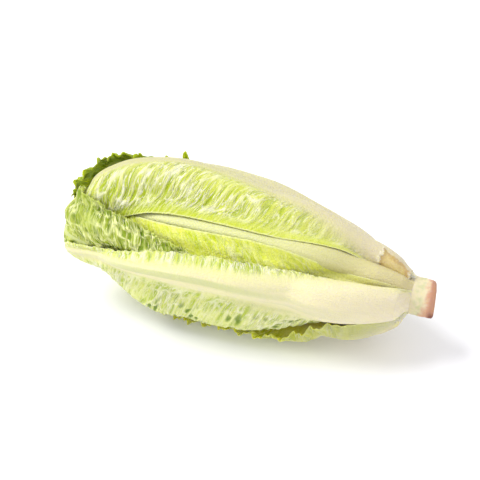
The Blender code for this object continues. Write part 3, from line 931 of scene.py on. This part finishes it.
def dried_cut(skin, colour):
    """The tan face of the slanted cut on the front half of the midrib's foot, with a browner
    edge, ending in a torn white lip. Distances from the foot and out of the rib are in mm."""
    ragged = skin.cloud(RAGGED_SIZE)
    from_foot = skin.math("ADD", skin.mark("from_foot"), skin.between(ragged, 0.3, 0.7, -1.3, 1.3))
    out_of_rib = skin.math("ADD", skin.mark("out_of_rib"), skin.between(ragged, 0.3, 0.7, -0.7, 0.7))
    inside = skin.between(from_foot, CUT_LENGTH, CUT_LENGTH - 0.8)
    inside = skin.times(inside, skin.between(from_foot, 0.4, 1.4))
    inside = skin.times(inside, skin.between(out_of_rib, -0.1, -1.0))
    near_lip = skin.between(from_foot, CUT_LENGTH - 3, CUT_LENGTH)
    near_side = skin.between(out_of_rib, -2.1, -0.9)
    near_foot = skin.between(from_foot, 4.5, 2.5)
    near_edge = skin.most(skin.most(near_lip, near_side), near_foot)
    tan = skin.mix(skin.times(near_edge, 0.6), DRIED_TAN, DRIED_BROWN)
    lip_starts = skin.between(from_foot, CUT_LENGTH - 0.2, CUT_LENGTH + 0.3)
    lip_ends = skin.between(from_foot, CUT_LENGTH + 1.6, CUT_LENGTH + 0.8)
    lip = skin.times(skin.times(lip_starts, lip_ends), skin.between(out_of_rib, 0.4, -0.5))
    colour = skin.mix(skin.times(lip, 0.7), colour, LIP_WHITE)
    return skin.mix(inside, colour, tan)


top = Leaf(
    "leaf_05_top",
    foot=14 * MM,
    tip=236 * MM,
    turns=(88, 101, 98, 60),
    upper=(5, 17, 30, 36, 36),
    lower=(4, 12, 31, 38, 37),
    rounding=0.93,
    rib=0.85,
    cut=22 * MM,
    rows=390,
    columns=(68, 28),
    vein_step=6 * MM,
    vein_rise=(0.45 * MM, 0.45 * MM),
    crumple=(0.95 * MM, 0.5 * MM),
    crumple_size=(2.3 * MM, 14 * MM),
    smooth_edge=(0.94, 1.1),
    smooth_foot=(0.03, 0.17),
    rib_spread=(0.9, 2.4),
    least_rib=6.5 * MM,
    hug_lower=(1, 1, 1, 1, 1),
    hug_tip=0.45,
    hug_gap=-0.2 * MM,
    frill=(0.15 * MM, 0.3 * MM),
    notch=0.12 * MM,
    seed=35,
)
top_tints = Tints(
    foot=(0.68, 0.60, 0.41),
    rib=(0.63, 0.60, 0.36),
    strand=(0.58, 0.56, 0.27),
    ridge=(0.92, 0.92, 0.62),
    blade=(0.64, 0.67, 0.13),
    hollow=(0.40, 0.50, 0.01),
    # Strong painted shade towards the tip.
    tip_shade=0.85,
)
grow(top, leaf_finish("top_leaf", top_tints, scarred=True))


# The front tip
# A leaf whose tip comes out from under the front leaf and wraps over the end of the head.
# Greener than the rest, since its tip stood in the light, with a ruffled margin.

front_tip = Leaf(
    "leaf_04_front_tip",
    foot=20 * MM,
    tip=236 * MM,
    turns=(0, -4, 5, 8),
    upper=(8, 12, 14, 26, 29),
    lower=(8, 14, 26, 30, 30),
    rounding=0.92,
    rows=330,
    columns=(26, 44),
    vein_step=4 * MM,
    vein_rise=(0.35 * MM, 0.35 * MM),
    crumple=(1.2 * MM, 1.4 * MM),
    crumple_size=(3.2 * MM, 5 * MM),
    blister=1.5 * MM,
    rib_spread=(0.4, 0.4),
    frill=(0.3 * MM, 2.4 * MM),
    frill_step=9 * MM,
    notch=1.1 * MM,
    notch_step=3.4 * MM,
    seed=36,
)
front_tip_tints = Tints(
    rib=(0.56, 0.61, 0.24),
    strand=(0.50, 0.56, 0.18),
    vein=(0.60, 0.65, 0.17),
    ridge=(0.86, 0.89, 0.42),
    blade=(0.44, 0.52, 0.035),
    margin=(0.34, 0.44, 0.02),
    hollow=(0.17, 0.27, 0.004),
    rim=(0.60, 0.68, 0.18),
    # Some painted shade towards the tip.
    tip_shade=0.4,
)
grow(front_tip, leaf_finish("front_tip_leaf", front_tip_tints))


# The front leaf
# The leaf that faces the viewer, with the broadest cream midrib. Its short upper margin is
# crinkled, with a painted highlight on the crinkles, and the pale green blade below has fine
# even veins and small pits painted dark as shade.

front = Leaf(
    "leaf_03_front",
    foot=9.5 * MM,
    tip=210 * MM,
    turns=(10, 11, 9, -8),
    upper=(7.5, 9, 12, 9, 6),
    lower=(8, 21, 37, 46, 45),
    lower_lift=(0, 0.3, 4.5, 2, 0),
    rounding=0.845,
    rib=1.25,
    rows=385,
    columns=(62, 26),
    vein_step=4.6 * MM,
    vein_rise=(0.5 * MM, 0.3 * MM),
    crumple=(0.55 * MM, 0.75 * MM),
    crumple_size=(2.2 * MM, 9 * MM),
    blister=0.18 * MM,
    pits=1.0,
    rib_spread=(1.1, 0.55),
    hug_lower=(0, 0, 0, 0, 0.5),
    hug_upper=(1, 1, 1, 1, 1),
    hug_tip=1.0,
    hug_gap=0.1 * MM,
    frill=(0.9 * MM, 1.0 * MM),
    frill_step=9 * MM,
    notch=0.7 * MM,
    seed=37,
)
front_tints = Tints(
    # Lighter than the other leaves' feet: its own cream, with a painted highlight where it meets the
    # butt.
    foot=(0.79, 0.71, 0.50),
    rib=(0.82, 0.77, 0.46),
    strand=(0.64, 0.66, 0.33),
    vein=(0.84, 0.84, 0.50),
    ridge=(0.90, 0.91, 0.62),
    blade=(0.72, 0.75, 0.25),
    margin=(0.64, 0.71, 0.13),
    hollow=(0.44, 0.55, 0.04),
    rim=(0.86, 0.88, 0.46),
)
grow(front, leaf_finish("front_leaf", front_tints))


# The leaf on the table
# The outermost leaf below, which the head rests on. Its lime margin peels away from the head
# in frills, with a dark crevice behind it.

under = Leaf(
    "leaf_02_under",
    foot=10.5 * MM,
    tip=200 * MM,
    turns=(-80, -82, -86, -88),
    upper=(10, 23, 25, 21, 14),
    lower=(8, 14, 26, 33, 33),
    stand=(1.5, 8, 5, 1, 0),
    lift=(0, 0, 7, 5, 0),
    rib=1.25,
    rows=295,
    columns=(34, 48),
    vein_step=5 * MM,
    crumple=(0.3 * MM, 1.0 * MM),
    hug_lower=(1, 1, 1, 1, 1),
    hug_upper=(1, 1, 1, 0.4, 0),
    hug_tip=0.4,
    hug_from=(0.65, 1.0),
    hug_gap=0.1 * MM,
    frill=(0.5 * MM, 2.8 * MM),
    frill_step=11 * MM,
    notch=0.8 * MM,
    notch_step=3.7 * MM,
    seed=38,
)
under_tints = Tints(
    foot=(0.74, 0.66, 0.40),
    blade=(0.70, 0.74, 0.12),
    margin=(0.76, 0.82, 0.06),
    hollow=(0.46, 0.56, 0.01),
    rim=(0.86, 0.89, 0.20),
    rim_from=0.93,
    glow=(0.9, 4 * MM),
)
grow(under, leaf_finish("under_leaf", under_tints))


# The back leaf
# The outermost leaf behind, the only one that grew in full light: dark green, leathery, and
# finely toothed along the ruffled margin that stands over the tip.

back = Leaf(
    "leaf_01_back",
    foot=9.5 * MM,
    tip=234 * MM,
    turns=(172, 168, 158, 104),
    upper=(6, 14, 26, 34, 34),
    lower=(6, 9, 9, 17, 15),
    lower_lift=(0, 0, 0, 1.5, 4),
    rounding=0.9,
    rows=345,
    columns=(38, 38),
    vein_rise=(0.4 * MM, 0.45 * MM),
    crumple=(1.3 * MM, 1.1 * MM),
    crumple_size=(3.0 * MM, 3.6 * MM),
    blister=1.0 * MM,
    hug_lower=(0.8, 0.8, 0.8, 0.9, 0.9),
    hug_tip=0.75,
    frill=(2.2 * MM, 2.4 * MM),
    frill_step=8 * MM,
    notch=2.6 * MM,
    notch_step=4.6 * MM,
    lobes=((160, 2.2, 0.75), (171, 1.3, 0.35)),
    seed=39,
)
back_tints = Tints(
    rib=(0.56, 0.62, 0.30),
    strand=(0.46, 0.54, 0.20),
    vein=(0.36, 0.46, 0.10),
    ridge=(0.40, 0.50, 0.12),
    blade=(0.33, 0.43, 0.02),
    margin=(0.36, 0.48, 0.025),
    hollow=(0.12, 0.19, 0.006),
    rim=(0.52, 0.64, 0.05),
    rim_from=0.88,
    glow=(0.6, 2 * MM),
)
grow(back, leaf_finish("back_leaf", back_tints))


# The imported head
# The leaves are laid on one another from the innermost outwards, each on the swell of those
# beneath it, and the gaps between them are evened out until they fill the head's outline.

OUTLINE_ALONG = np.array([0, 8, 16, 32, 60, 95, 130, 160, 180, 196, 206, 212, 214]) * MM
OUTLINE_RADIUS = np.array([10, 10.3, 14.5, 23, 33.5, 41, 43.5, 42.5, 39.5, 32.5, 23, 12, 0]) * MM
OUTLINE_STEP = 0.5 * MM
ROUND_RADIUS = 6 * MM
FULLNESS = (
    (148 * MM, 100 * DEG, 22 * MM, 25 * DEG, 2 * MM),
    (186 * MM, -42 * DEG, 26 * MM, 32 * DEG, -7 * MM),
    (206 * MM, -65 * DEG, 24 * MM, 34 * DEG, -6 * MM),
    (216 * MM, 20 * DEG, 16 * MM, 45 * DEG, 2 * MM),
    (208 * MM, 72 * DEG, 13 * MM, 26 * DEG, 4 * MM),
)
FAN_KNEE = 130 * MM
FAN_REACH = 45 * MM
PRESSED = 16 * MM
PRESS = 0.012 / MM


def around(turn, middle):
    """The turn from the middle, between -180 and 180 degrees."""
    return (turn - middle + math.pi) % (2 * math.pi) - math.pi


def measure_outline():
    """The outline in even steps of its own length: distance along the axis, and radius."""
    chords = np.hypot(np.diff(OUTLINE_ALONG), np.diff(OUTLINE_RADIUS))
    knots = np.concatenate([[0], np.cumsum(chords)])
    fine = np.linspace(0, knots[-1], int(knots[-1] / OUTLINE_STEP))
    along = through(knots, OUTLINE_ALONG, fine)
    radius = np.maximum(through(knots, OUTLINE_RADIUS, fine), 0)
    length = np.concatenate([[0], np.cumsum(np.hypot(np.diff(along), np.diff(radius)))])
    return length, along, radius


LENGTH, ALONG, RADIUS = measure_outline()


def outline(distance):
    """Distance along the axis and radius, at a distance along the outline."""
    return np.interp(distance, LENGTH, ALONG), np.interp(distance, LENGTH, RADIUS)


def round_radius(distance):
    """The radius that widths round the head are measured on."""
    return np.maximum(outline(distance)[1], ROUND_RADIUS)


def ray(distance):
    """The point of the axis that the layers stand on, their direction as (along, out), and
    the depth of the head there."""
    along, radius = outline(distance)
    past = np.maximum(along - FAN_KNEE, 0)
    centre = np.minimum(along, FAN_KNEE) + FAN_REACH * (1 - np.exp(-past / FAN_REACH))
    depth = np.hypot(along - centre, radius)
    return centre, (along - centre) / depth, radius / depth, depth


def fullness(distance, turn):
    """How far the head stands out of its outline."""
    total = 0
    for middle, side, reach_along, reach_round, height in FULLNESS:
        away = ((distance - middle) / reach_along) ** 2 + (around(turn, side) / reach_round) ** 2
        total = total + height * np.exp(-away)
    return total


def laid(distance, turn, height):
    """World points at a height above the axis, pressed a little flat by the table."""
    centre, forward, outward, _ = ray(distance)
    out = outward * height
    points = lying(centre + forward * height, out * np.cos(turn), out * np.sin(turn))
    pressed = np.maximum(PRESSED - points[..., 2], 0)
    points[..., 2] += PRESS * pressed**2
    return points


def rib_turn(leaf, distance):
    return through(TURN_KNOTS, np.array(leaf.turns) * DEG, share_along(leaf, distance))


def spread_over(field, window, pick):
    """pick, such as the greatest or the mean, of the field over a window of grid cells."""
    along, turns = window
    rows = len(field)
    padded = np.pad(field, ((along, along), (0, 0)), mode="edge")
    field = pick(np.stack([padded[i : i + rows] for i in range(2 * along + 1)]), axis=0)
    return pick(np.stack([np.roll(field, i, axis=1) for i in range(-turns, turns + 1)]), axis=0)


GRID_ALONG = 1 * MM
GRID_TURNS = 240
TEETH = 2.5 * MM
CAD_BLADE = 0.75 * MM
CAD_VEIN = 0.5 * MM
EDGE_GAP_SHARE = 0.25
TIP_GAP_SHARE = 0.15
TIP_HUG_FROM = (0.8, 0.97)


def over_grid(leaf, distance, turn):
    """Over the grid: whether the leaf covers it, the room that its tissue takes, its share
    of the gap beneath, which is least where the leaf's edges hug the head, its stand, and
    how much of the last gap its edges close."""
    offset = around(turn, rib_turn(leaf, distance))
    from_rib = offset * round_radius(distance)
    width = half_width(leaf, distance, np.sign(offset))
    reach = np.abs(from_rib) / width
    cover = (np.abs(from_rib) < width + TEETH) & (distance > leaf.foot - GRID_ALONG)
    cover = cover & (distance < leaf.tip + TEETH)
    share = share_along(leaf, distance)
    clear_of_rib = ease(0.5, 1.6, np.abs(from_rib) / rib_width(leaf, distance))
    veins = 2 * CAD_VEIN * clear_of_rib * ease(0.1, 0.35, share)
    tissue = thickness(leaf, distance, from_rib) - BLADE + CAD_BLADE + veins
    to_edge = ease(0.45, 1, reach)
    gap_share = 1 - (1 - EDGE_GAP_SHARE) * to_edge
    gap_share = gap_share * (1 - (1 - TIP_GAP_SHARE) * ease(0.75, 1, share))
    stand = through(WIDTH_KNOTS, np.array(leaf.stand) * MM, share) * (1 - to_edge)
    lower = through(WIDTH_KNOTS, np.array(leaf.hug_lower), share)
    upper = through(WIDTH_KNOTS, np.array(leaf.hug_upper), share)
    near_edge = np.maximum(ease(*leaf.hug_from, reach), leaf.hug_tip * ease(*TIP_HUG_FROM, share))
    hug = np.where(offset > 0, upper, lower) * near_edge
    return cover, tissue, gap_share, stand, hug


SWELL_WINDOW = (9, 7)
RELAX_WINDOW = (5, 4)
EVEN_WINDOW = (12, 22)
PACKING_ROUNDS = 8
LEAST_GAP = 0.35 * MM
MOST_GAP = 7 * MM
LEAST_LAYERS = 0.5
ROOM_ALONG = np.array([7.6, 16, 30, 45, 56, 60]) * MM
ROOM_RADIUS = np.array([5.8, 5.6, 4.8, 3.4, 1.6, 0]) * MM
HEART_RADIUS = 1.5 * MM
STEM_CLEARANCE = 0.4 * MM


def packing(leaves):
    """The height of each leaf's inner face over a grid of distances and turns. The gaps
    between the leaves are widened or narrowed until the head fills its outline."""
    distances = np.arange(0, LENGTH[-1], GRID_ALONG)
    turns = np.arange(GRID_TURNS) * 2 * math.pi / GRID_TURNS
    distance, turn = np.meshgrid(distances, turns, indexing="ij")
    depth = ray(distance)[3] + fullness(distance, turn)
    core = np.interp(outline(distance)[0], ROOM_ALONG, ROOM_RADIUS)
    core = np.maximum(core, HEART_RADIUS) + STEM_CLEARANCE
    layers_of = [(leaf, *over_grid(leaf, distance, turn)) for leaf in leaves]
    covered = np.any([cover for _, cover, *_ in layers_of], axis=0)
    evened = spread_over(covered.astype(float), EVEN_WINDOW, np.mean)
    layers = sum(np.where(cover, share, 0) for _, cover, _, share, *_ in layers_of)
    layers = spread_over(layers, EVEN_WINDOW, np.mean) / evened
    gap_beneath = np.zeros(distance.shape)
    heights = {}
    for _ in range(PACKING_ROUNDS):
        top_face = core
        for leaf, cover, tissue, share, stand, _ in layers_of:
            swollen = spread_over(top_face - depth, SWELL_WINDOW, np.max)
            beneath = spread_over(swollen, RELAX_WINDOW, np.mean) + depth
            heights[leaf.name] = beneath + LEAST_GAP + gap_beneath * share + stand
            top_face = np.where(cover, heights[leaf.name] + tissue, top_face)
        room = spread_over(np.where(covered, depth - top_face, 0), EVEN_WINDOW, np.mean) / evened
        gap_beneath = np.clip(gap_beneath + room / np.maximum(layers, LEAST_LAYERS), 0, MOST_GAP)
    return settled(layers_of, heights, core)


HUG_SWELL_WINDOW = (1, 1)
HUG_RELAX_WINDOW = (2, 2)
HUG_DROP = 8 * MM


def settled(layers_of, heights, core):
    """The heights once the edges of each leaf have come down onto what lies beneath them."""
    top_face = core
    for leaf, cover, tissue, _, _, hug in layers_of:
        swollen = spread_over(top_face, HUG_SWELL_WINDOW, np.max)
        beneath = spread_over(swollen, HUG_RELAX_WINDOW, np.mean)
        raised = heights[leaf.name] + leaf.rise
        room = np.clip(raised - beneath - leaf.hug_gap, 0, HUG_DROP)
        heights[leaf.name] = raised - hug * room
        top_face = np.where(cover, heights[leaf.name] + tissue, top_face)
    return heights


def sample(grid, distance, turn):
    """The grid's value at any distance and turn, by linear interpolation."""
    row = np.clip(distance / GRID_ALONG, 0, len(grid) - 1.001)
    column = turn / (2 * math.pi) * GRID_TURNS
    i = np.floor(row).astype(int)
    j = np.floor(column).astype(int)
    u = row - i
    v = column - j
    near = grid[i, j % GRID_TURNS] * (1 - v) + grid[i, (j + 1) % GRID_TURNS] * v
    far = grid[i + 1, j % GRID_TURNS] * (1 - v) + grid[i + 1, (j + 1) % GRID_TURNS] * v
    return near * (1 - u) + far * u


ROOT_START = 10 * MM
ROOT_END = 16 * MM
ROOT_SURFACE_END = 11 * MM
ROOT_SWELL = 0.8 * MM
ROOT_SWELL_FROM = (9.3 * MM, 13 * MM)
ROOT_SUNK = 0.3 * MM
INNER_SUNK = 0.8 * MM
MOST_DRAWN_OUT = 1.15


def grown_on(points, sink):
    """Draws the leaves' feet down onto the butt's skin, which they grow out of, or to a depth
    beneath it."""
    x = points[..., 0] * math.cos(TILT) - (points[..., 2] - AXIS_HEIGHT) * math.sin(TILT)
    up = points[..., 0] * math.sin(TILT) + (points[..., 2] - AXIS_HEIGHT) * math.cos(TILT)
    along, across = MIDDLE - x, ASIDE - points[..., 1]
    radius = np.maximum(np.hypot(across, up), MM)
    free = ease(ROOT_START, ROOT_END, along)
    rooted = butt_surface(np.clip(along, 0, ROOT_SURFACE_END)) - ROOT_SUNK - sink
    rooted = rooted + ROOT_SWELL * ease(*ROOT_SWELL_FROM, along)
    factor = np.minimum((rooted * (1 - free) + radius * free) / radius, MOST_DRAWN_OUT)
    return np.where((along < ROOT_END)[..., None], lying(along, across * factor, up * factor), points)


LIP_HEIGHT = 0.8 * MM
LIP_RAGGED = 1.2 * MM


def torn_lip(from_foot, from_rib, seed):
    """How far the cut at the top leaf's foot lies below the torn edge of its skin."""
    ragged = LIP_RAGGED * waver(from_rib / LIP_RAGGED, 0 * from_rib, seed + 20)
    front_half = ease(0.5 * MM, -0.8 * MM, from_rib)
    inside = ease(CUT_LENGTH * MM, (CUT_LENGTH - 0.7) * MM, from_foot + ragged)
    return LIP_HEIGHT * front_half * inside * ease(0, 6 * MM, from_foot)


LIFT_FROM = 0.35
BLADE_OUT = 0.35 * MM
EDGE_THINNED = 0.6
INNER_RELIEF = 0.6


def lay(leaf, piece, heights):
    """Moves the leaf's points to their place on the head. The thickness and the relief stand
    square to the smooth face of the leaf."""
    level, distance, from_rib, reach = lattice(leaf)
    side = np.sign(from_rib)
    share = share_along(leaf, distance)
    turn = rib_turn(leaf, distance) + from_rib / round_radius(distance)
    smooth = spread_over(heights[leaf.name], leaf.smooth, np.mean)
    height = sample(smooth, distance, turn)
    lift = through(WIDTH_KNOTS, np.array(leaf.lift) * MM, share)
    lower_lift = through(WIDTH_KNOTS, np.array(leaf.lower_lift) * MM, share)
    height = height + lift * ease(LIFT_FROM, 1, side * reach)
    height = height + lower_lift * ease(LIFT_FROM, 1, -side * reach)
    height = height + frilled(leaf, level, from_rib, reach, share)
    height = height + lobe(leaf, distance, side) * LOBE_RISE * ease(0.5, 1, reach)
    inner = laid(distance, turn, height)
    out = np.cross(np.gradient(inner, axis=1), np.gradient(inner, axis=0))
    out = out / np.maximum(np.linalg.norm(out, axis=-1, keepdims=True), 1e-12)
    raised, _ = relief(leaf, level, distance, from_rib, reach)
    clear_of_rib = ease(0.75, 1.7, np.abs(from_rib) / rib_width(leaf, distance))
    middle = BLADE_OUT * clear_of_rib * ease(1.05, 0.85, reach)
    thick = thickness(leaf, distance, from_rib) * (1 - EDGE_THINNED * ease(0.8, 1, reach))
    if leaf.cut:
        thick = thick - torn_lip(distance - leaf.foot, from_rib, leaf.seed)
    outer = inner + out * (thick + raised + middle)[..., None]
    inner = inner + out * (INNER_RELIEF * raised + middle)[..., None]
    if not leaf.cut:
        outer = grown_on(outer, 0)
        inner = grown_on(inner, INNER_SUNK)
    points = np.concatenate([outer.reshape(-1, 3), inner.reshape(-1, 3)])
    points[:, 2] = np.maximum(points[:, 2], 0)
    piece.data.vertices.foreach_set("co", points.ravel())
    piece.data.update()


heights = packing([leaf for leaf, _ in head])
for leaf, piece in head:
    lay(leaf, piece, heights)


# The floor
# The white sweep that the head was photographed on. Matt, and bright enough to run out to
# plain white away from the soft shadow.

FLOOR_REACH = 4.0
FLOOR_DROP = 0.2 * MM
FLOOR_WHITE = (0.84, 0.84, 0.88, 1)
FLOOR_GLOW = 0.13

floor_mesh = bpy.data.meshes.new("floor")
corners = [(FLOOR_REACH * x, FLOOR_REACH * y, 0) for x, y in ((-1, -1), (1, -1), (1, 1), (-1, 1))]
floor_mesh.from_pydata(corners, [], [(0, 1, 2, 3)])
floor = bpy.data.objects.new("floor", floor_mesh)
floor.location = (0, 0, -FLOOR_DROP)
bpy.context.scene.collection.objects.link(floor)
white = bpy.data.materials.new("white_floor")
white.use_nodes = True
paint = white.node_tree.nodes["Principled BSDF"].inputs
paint["Base Color"].default_value = FLOOR_WHITE
paint["Emission Color"].default_value = (1, 1, 1, 1)
paint["Emission Strength"].default_value = FLOOR_GLOW
paint["Roughness"].default_value = 0.8
paint["Specular IOR Level"].default_value = 0.1
floor.data.materials.append(white)


# The light
# A bright tent all round, with a very soft key light from above and the left, a little to
# the front.

TENT_STRENGTH = 0.88
KEY_FROM = Vector((-0.75, -0.2, 1.0))
KEY_SIZE = 34 * DEG
KEY_STRENGTH = 2.2

world = bpy.data.worlds.new("tent")
world.use_nodes = True
world.node_tree.nodes["Background"].inputs["Color"].default_value = (1, 1, 1, 1)
world.node_tree.nodes["Background"].inputs["Strength"].default_value = TENT_STRENGTH
bpy.context.scene.world = world
bpy.context.scene.view_settings.view_transform = "Standard"

key_light = bpy.data.lights.new("key", "SUN")
key_light.angle = KEY_SIZE
key_light.energy = KEY_STRENGTH
key = bpy.data.objects.new("key", key_light)
key.rotation_euler = KEY_FROM.to_track_quat("Z", "Y").to_euler()
bpy.context.scene.collection.objects.link(key)


# The camera
# It stands a little to the right of square on, above the table, and looks down at the head
# through a long lens, so that the head fills the picture's width as in the photo.

AZIMUTH = 21 * DEG
ELEVATION = 33 * DEG
CAMERA_DISTANCE = 0.625
LOOK_AT = Vector((-0.0049, 0.0018, 0.04052))
FRAME_RIGHT = 1.1 * MM
FRAME_UP = 4.4 * MM
LENS = 85
SENSOR = 36

back_to_camera = Vector(
    (
        math.sin(AZIMUTH) * math.cos(ELEVATION),
        -math.cos(AZIMUTH) * math.cos(ELEVATION),
        math.sin(ELEVATION),
    )
)
camera_right = Vector((math.cos(AZIMUTH), math.sin(AZIMUTH), 0))
camera_up = back_to_camera.cross(camera_right)
lens = bpy.data.cameras.new("camera")
lens.lens = LENS
lens.sensor_width = SENSOR
camera = bpy.data.objects.new("camera", lens)
turned = Matrix((camera_right, camera_up, back_to_camera)).transposed().to_4x4()
spot = LOOK_AT + camera_right * FRAME_RIGHT + camera_up * FRAME_UP + back_to_camera * CAMERA_DISTANCE
camera.matrix_world = Matrix.Translation(spot) @ turned
bpy.context.scene.collection.objects.link(camera)
bpy.context.scene.camera = camera
